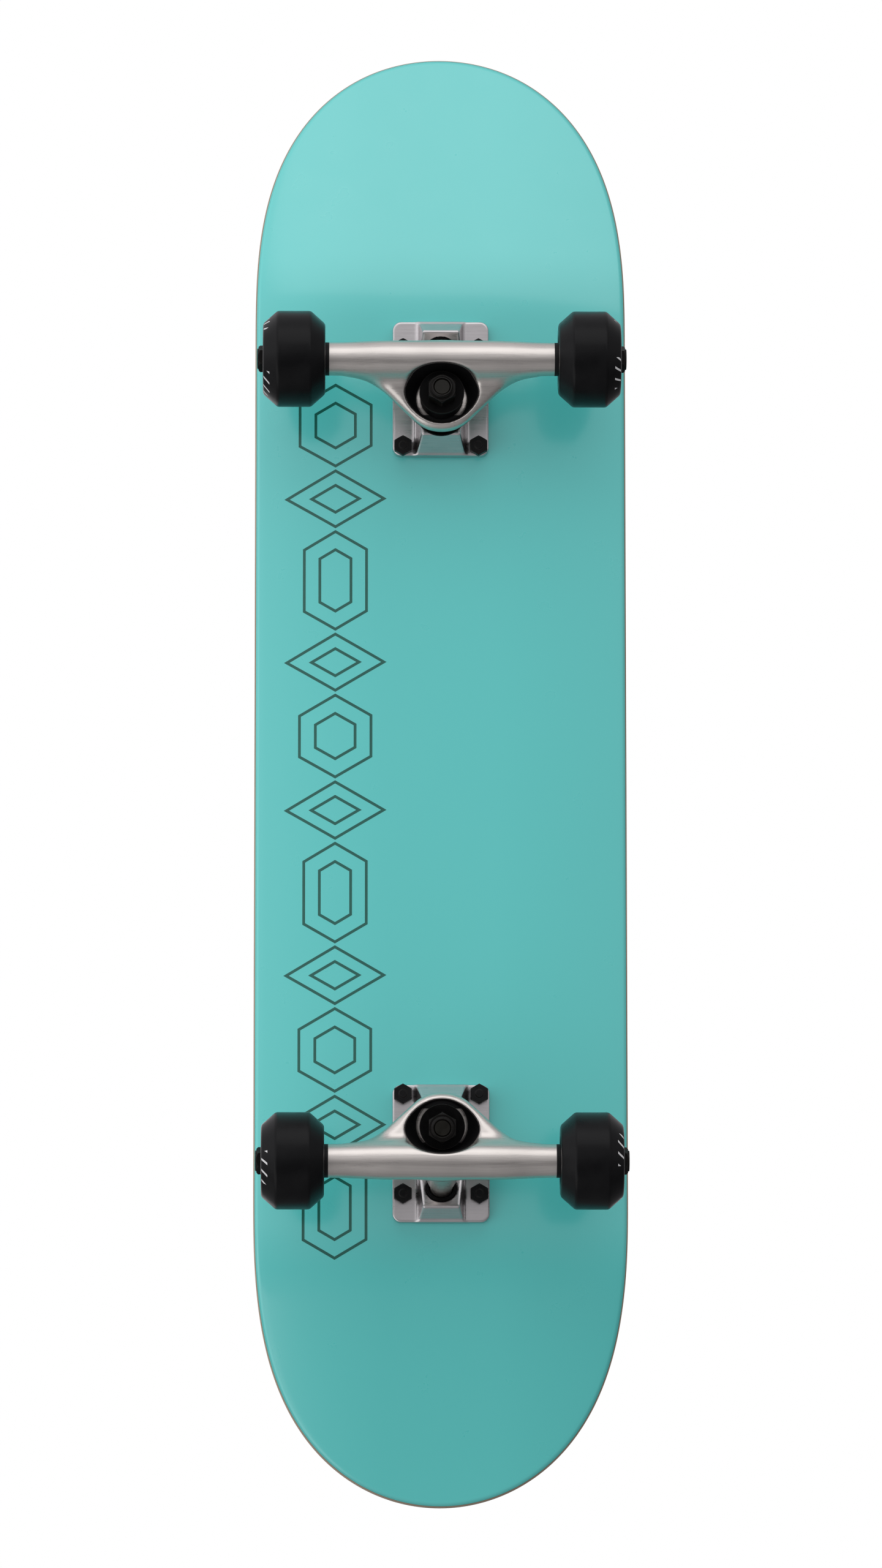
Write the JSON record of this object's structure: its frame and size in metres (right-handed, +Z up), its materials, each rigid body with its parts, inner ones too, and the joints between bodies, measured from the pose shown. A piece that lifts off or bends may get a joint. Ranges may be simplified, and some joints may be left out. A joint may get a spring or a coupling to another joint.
{
  "type": "skateboard",
  "caption": "Popsicle skateboard: laminated maple deck with concave and kicked ends, sprung steering trucks, urethane wheels on ball bearings, black grip tape.",
  "frame": {"origin": "middle of the bounding box at ground level, under the deck", "axes": "+X towards the nose, +Y to the rider's left, +Z up; the wheels stand on z = 0"},
  "size_m": [0.8054, 0.2032, 0.138],
  "materials": {
    "deck_paint": null,
    "maple_long_grain": "sanded and sealed maple edge",
    "maple_cross_grain": "end grain of the cross plies, darker",
    "maple_face": "clear-sealed maple face",
    "grip_tape": "coarse black silicon-carbide grit",
    "black_oxide_steel": "black oxide, satin",
    "cast_aluminium": "tumbled casting, satin",
    "polished_aluminium": "polished casting with fine turning marks, black inside the cup and at the axle ends",
    "pivot_urethane": "black urethane",
    "bushing_urethane": "black urethane, soft sheen",
    "kingpin_steel": "dark zinc",
    "washer_steel": "black painted steel",
    "nut_steel": "black oxide lock nut with nylon collar",
    "axle_steel": "hardened steel",
    "speed_washer_steel": "zinc",
    "wheel_urethane": null,
    "bearing_steel": "ground bearing steel",
    "cage_nylon": "natural nylon",
    "bearing_shield": "dark pressed steel shield",
    "spacer_aluminium": "turned aluminium"
  },
  "bodies": {
    "deck": {"deck_bottom_face_ply": "deck_paint", "deck_long_grain_core_plies": "maple_long_grain", "deck_cross_grain_plies": "maple_cross_grain", "deck_top_face_ply": "maple_face", "grip_tape": "grip_tape", "mounting_bolts": "black_oxide_steel", "mounting_nuts": "black_oxide_steel", "front_baseplate": "cast_aluminium", "front_pivot_cup": "pivot_urethane", "front_kingpin": "kingpin_steel", "front_bottom_washer": "washer_steel", "front_boardside_bushing": "bushing_urethane", "front_roadside_bushing": "bushing_urethane", "front_top_washer": "washer_steel", "front_kingpin_nut": "nut_steel", "rear_baseplate": "cast_aluminium", "rear_pivot_cup": "pivot_urethane", "rear_kingpin": "kingpin_steel", "rear_bottom_washer": "washer_steel", "rear_boardside_bushing": "bushing_urethane", "rear_roadside_bushing": "bushing_urethane", "rear_top_washer": "washer_steel", "rear_kingpin_nut": "nut_steel"},
    "front_left_wheel": {"front_left_wheel": "wheel_urethane", "front_left_bearing_outer_rings": "bearing_steel", "front_left_bearing_shields": "bearing_shield"},
    "front_left_ball_set": {"front_left_bearing_balls": "bearing_steel", "front_left_bearing_cages": "cage_nylon"},
    "front_right_wheel": {"front_right_wheel": "wheel_urethane", "front_right_bearing_outer_rings": "bearing_steel", "front_right_bearing_shields": "bearing_shield"},
    "front_right_ball_set": {"front_right_bearing_balls": "bearing_steel", "front_right_bearing_cages": "cage_nylon"},
    "front_hanger": {"front_hanger": "polished_aluminium", "front_axle": "axle_steel", "front_speed_washers": "speed_washer_steel", "front_axle_nuts": "nut_steel", "front_left_bearing_inner_rings": "bearing_steel", "front_left_bearing_spacer": "spacer_aluminium", "front_right_bearing_inner_rings": "bearing_steel", "front_right_bearing_spacer": "spacer_aluminium"},
    "rear_left_wheel": {"rear_left_wheel": "wheel_urethane", "rear_left_bearing_outer_rings": "bearing_steel", "rear_left_bearing_shields": "bearing_shield"},
    "rear_left_ball_set": {"rear_left_bearing_balls": "bearing_steel", "rear_left_bearing_cages": "cage_nylon"},
    "rear_right_wheel": {"rear_right_wheel": "wheel_urethane", "rear_right_bearing_outer_rings": "bearing_steel", "rear_right_bearing_shields": "bearing_shield"},
    "rear_right_ball_set": {"rear_right_bearing_balls": "bearing_steel", "rear_right_bearing_cages": "cage_nylon"},
    "rear_hanger": {"rear_hanger": "polished_aluminium", "rear_axle": "axle_steel", "rear_speed_washers": "speed_washer_steel", "rear_axle_nuts": "nut_steel", "rear_left_bearing_inner_rings": "bearing_steel", "rear_left_bearing_spacer": "spacer_aluminium", "rear_right_bearing_inner_rings": "bearing_steel", "rear_right_bearing_spacer": "spacer_aluminium"}
  },
  "joints": [
    {"name": "front_truck_steer", "type": "hinge", "parent": "deck", "child": "front_hanger", "pos_m": [0.2251, 0, 0.0645], "axis": [-0.794, 0, -0.6079], "range_deg": [-12, 12], "stiffness_Nm_per_rad": 60, "deforming": ["front_boardside_bushing", "front_roadside_bushing"]},
    {"name": "front_left_wheel_spin", "type": "hinge", "parent": "front_hanger", "child": "front_left_wheel", "pos_m": [0.21355, 0.08, 0.026], "axis": [0, 1, 0], "continuous": true},
    {"name": "front_left_ball_orbit", "type": "hinge", "parent": "front_hanger", "child": "front_left_ball_set", "pos_m": [0.21355, 0.08, 0.026], "axis": [0, 1, 0], "continuous": true},
    {"name": "front_right_wheel_spin", "type": "hinge", "parent": "front_hanger", "child": "front_right_wheel", "pos_m": [0.21355, -0.08, 0.026], "axis": [0, 1, 0], "continuous": true},
    {"name": "front_right_ball_orbit", "type": "hinge", "parent": "front_hanger", "child": "front_right_ball_set", "pos_m": [0.21355, -0.08, 0.026], "axis": [0, 1, 0], "continuous": true},
    {"name": "rear_truck_steer", "type": "hinge", "parent": "deck", "child": "rear_hanger", "pos_m": [-0.2335, 0, 0.0645], "axis": [0.794, 0, -0.6079], "range_deg": [-12, 12], "stiffness_Nm_per_rad": 60, "deforming": ["rear_boardside_bushing", "rear_roadside_bushing"]},
    {"name": "rear_left_wheel_spin", "type": "hinge", "parent": "rear_hanger", "child": "rear_left_wheel", "pos_m": [-0.22195, 0.08, 0.026], "axis": [0, 1, 0], "continuous": true},
    {"name": "rear_left_ball_orbit", "type": "hinge", "parent": "rear_hanger", "child": "rear_left_ball_set", "pos_m": [-0.22195, 0.08, 0.026], "axis": [0, 1, 0], "continuous": true},
    {"name": "rear_right_wheel_spin", "type": "hinge", "parent": "rear_hanger", "child": "rear_right_wheel", "pos_m": [-0.22195, -0.08, 0.026], "axis": [0, 1, 0], "continuous": true},
    {"name": "rear_right_ball_orbit", "type": "hinge", "parent": "rear_hanger", "child": "rear_right_ball_set", "pos_m": [-0.22195, -0.08, 0.026], "axis": [0, 1, 0], "continuous": true}
  ],
  "couplings": [
    {"joint": "front_left_ball_orbit", "follows": "front_left_wheel_spin", "ratio": 0.632},
    {"joint": "front_right_ball_orbit", "follows": "front_right_wheel_spin", "ratio": 0.632},
    {"joint": "rear_left_ball_orbit", "follows": "rear_left_wheel_spin", "ratio": 0.632},
    {"joint": "rear_right_ball_orbit", "follows": "rear_right_wheel_spin", "ratio": 0.632}
  ]
}
